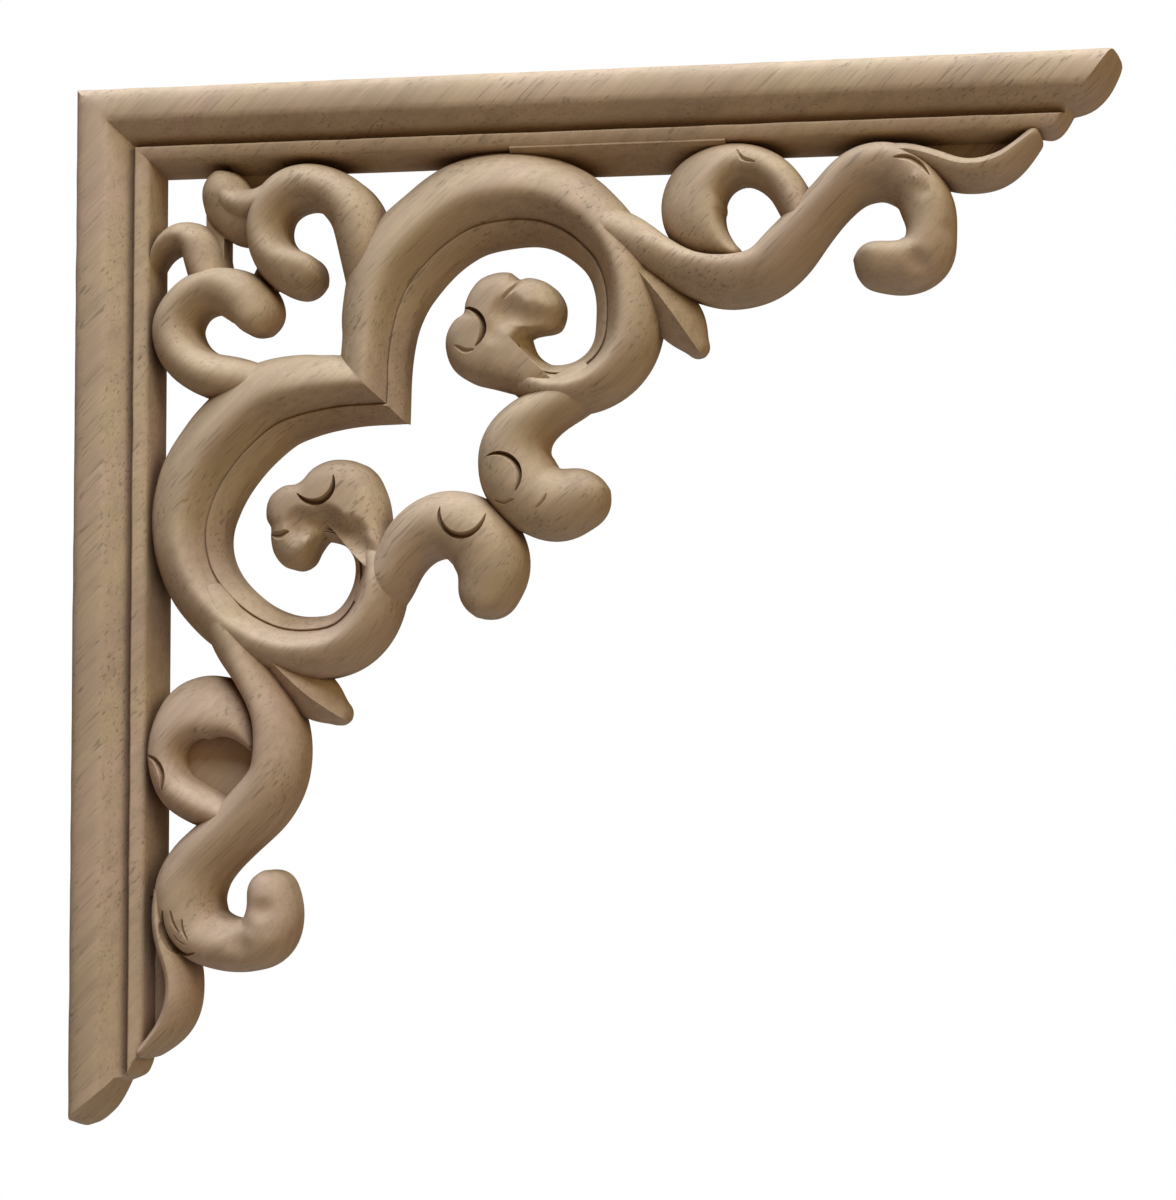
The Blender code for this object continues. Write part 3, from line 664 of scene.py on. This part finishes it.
def ramp(source, stops):
    """A colour ramp over a value: each stop is a place and a grey value or a colour."""
    node = tree_nodes.new("ShaderNodeValToRGB")
    elements = node.color_ramp.elements
    while len(elements) < len(stops):
        elements.new(0.5)
    for element, (spot, value) in zip(elements, stops):
        element.position = spot
        element.color = (*(value if isinstance(value, tuple) else (value,) * 3), 1)
    tree_links.new(source, node.inputs["Fac"])
    return node.outputs["Color"]


def blend(kind, factor, first, second):
    """Two colours mixed in one way, by a number or a mask."""
    node = tree_nodes.new("ShaderNodeMix")
    node.data_type = "RGBA"
    node.blend_type = kind
    if isinstance(factor, float):
        node.inputs["Factor"].default_value = factor
    else:
        tree_links.new(factor, node.inputs["Factor"])
    tree_links.new(first, node.inputs["A"])
    tree_links.new(second, node.inputs["B"])
    return node.outputs["Result"]


tone = ramp(stretched_noise(2.5, 22, 2, 0.5), (
    (0.3, (0.41, 0.30, 0.205)), (0.46, (0.46, 0.35, 0.225)), (0.58, (0.48, 0.35, 0.25)),
    (0.72, (0.44, 0.345, 0.215))))
figure = ramp(stretched_noise(16, 330, 5, 0.6), ((0.3, 0.84), (0.5, 0.97), (0.72, 1.05)))
fibre = ramp(stretched_noise(60, 1500, 3, 0.6), ((0.3, 0.9), (0.6, 1.0)))
pores = ramp(stretched_noise(60, 1300, 1, 0.4), ((0.6, 1.0), (0.7, 0.66)))
clusters = ramp(stretched_noise(20, 60, 2, 0.5), ((0.36, 0.0), (0.6, 1.0)))
# Painted shade: an ambient occlusion mask that darkens and warms the colour in creases and recesses.
painted_recess_shade = tree_nodes.new("ShaderNodeAmbientOcclusion")
painted_recess_shade.samples = 8
painted_recess_shade.inputs["Distance"].default_value = 0.005
colour = blend("MULTIPLY", 1.0, tone, figure)
colour = blend("MULTIPLY", 1.0, colour, fibre)
colour = blend("MULTIPLY", clusters, colour, pores)
# The painted shade is multiplied into the colour, a dark warm brown in the deepest recesses.
colour = blend("MULTIPLY", 1.0, colour, ramp(painted_recess_shade.outputs["AO"], (
    (0.15, (0.42, 0.34, 0.28)), (0.5, (0.84, 0.79, 0.74)), (0.85, (1, 1, 1)))))
tree_links.new(colour, shader.inputs["Base Color"])
tree_links.new(ramp(stretched_noise(30, 400, 3, 0.6), ((0.3, 0.62), (0.7, 0.78))),
               shader.inputs["Roughness"])
bump = tree_nodes.new("ShaderNodeBump")
bump.inputs["Strength"].default_value = 0.25
bump.inputs["Distance"].default_value = 0.0004
relief = blend("MULTIPLY", 1.0, pores, fibre)
tree_links.new(relief, bump.inputs["Height"])
tree_links.new(bump.outputs["Normal"], shader.inputs["Normal"])

bracket.data.materials.clear()
bracket.data.materials.append(wood)
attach(bracket, "root")
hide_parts("corner_bracket")


# The studio
# A plain pale floor a metre below, cool skylight from high above, a cool key light in front, a warm
# lamp far to the right, and a white room behind whose own light is dim and warm.
FLOOR_SIZE = 3
FLOOR_LEVEL = -1.289
BRACKET_MIDDLE = (0.139, 0, -0.139)
bpy.ops.object.select_all(action="DESELECT")
bpy.ops.mesh.primitive_plane_add(size=FLOOR_SIZE, location=(BRACKET_MIDDLE[0], 0, FLOOR_LEVEL))
floor = bpy.context.object
floor.name = "floor"
pale = bpy.data.materials.new("pale_floor")
pale.use_nodes = True
pale.node_tree.nodes["Principled BSDF"].inputs["Base Color"].default_value = (0.8, 0.8, 0.79, 1)
pale.node_tree.nodes["Principled BSDF"].inputs["Roughness"].default_value = 0.9
floor.data.materials.append(pale)


def soft_light(name, spot, size, power, tint):
    """A square soft light at a spot, turned to the bracket."""
    lamp = bpy.data.lights.new(name, "AREA")
    lamp.shape = "SQUARE"
    lamp.size = size
    lamp.energy = power
    lamp.color = tint
    holder = bpy.data.objects.new(name, lamp)
    holder.location = spot
    holder.rotation_euler = (Vector(BRACKET_MIDDLE) - Vector(spot)).to_track_quat("-Z", "Y").to_euler()
    bpy.context.scene.collection.objects.link(holder)


soft_light("skylight", (0.2, -0.2, 1.25), 0.6, 23, (0.87, 1, 1.17))
soft_light("key", (0.2, -0.9, 1), 0.6, 13.2, (0.95, 1, 1.07))
soft_light("lamp", (1.4, -0.9, 0.3), 0.8, 5, (1.25, 1, 0.5))

world = bpy.data.worlds.new("white_room")
bpy.context.scene.world = world
world.use_nodes = True
room, links = world.node_tree.nodes, world.node_tree.links
backdrop = room["Background"]
backdrop.inputs["Color"].default_value = (1, 1, 1, 1)
ambient = room.new("ShaderNodeBackground")
ambient.inputs["Color"].default_value = (1, 0.61, 0.36, 1)
ambient.inputs["Strength"].default_value = 0.17
path = room.new("ShaderNodeLightPath")
either = room.new("ShaderNodeMixShader")
links.new(path.outputs["Is Camera Ray"], either.inputs["Fac"])
links.new(ambient.outputs["Background"], either.inputs[1])
links.new(backdrop.outputs["Background"], either.inputs[2])
links.new(either.outputs["Shader"], room["World Output"].inputs["Surface"])
bpy.context.scene.view_settings.view_transform = "Standard"


# The camera
# It stands where the photographer stood, to the right of the bracket and a little below its middle.
CAMERA_SPOT = place(315, 205, 905)
CAMERA_AIM = place(150, 150, 10)
camera = bpy.data.objects.new("camera", bpy.data.cameras.new("camera"))
camera.data.lens = 97
camera.data.clip_start = 0.01
camera.location = CAMERA_SPOT
camera.rotation_euler = (CAMERA_AIM - CAMERA_SPOT).to_track_quat("-Z", "Y").to_euler()
bpy.context.scene.collection.objects.link(camera)
bpy.context.scene.camera = camera
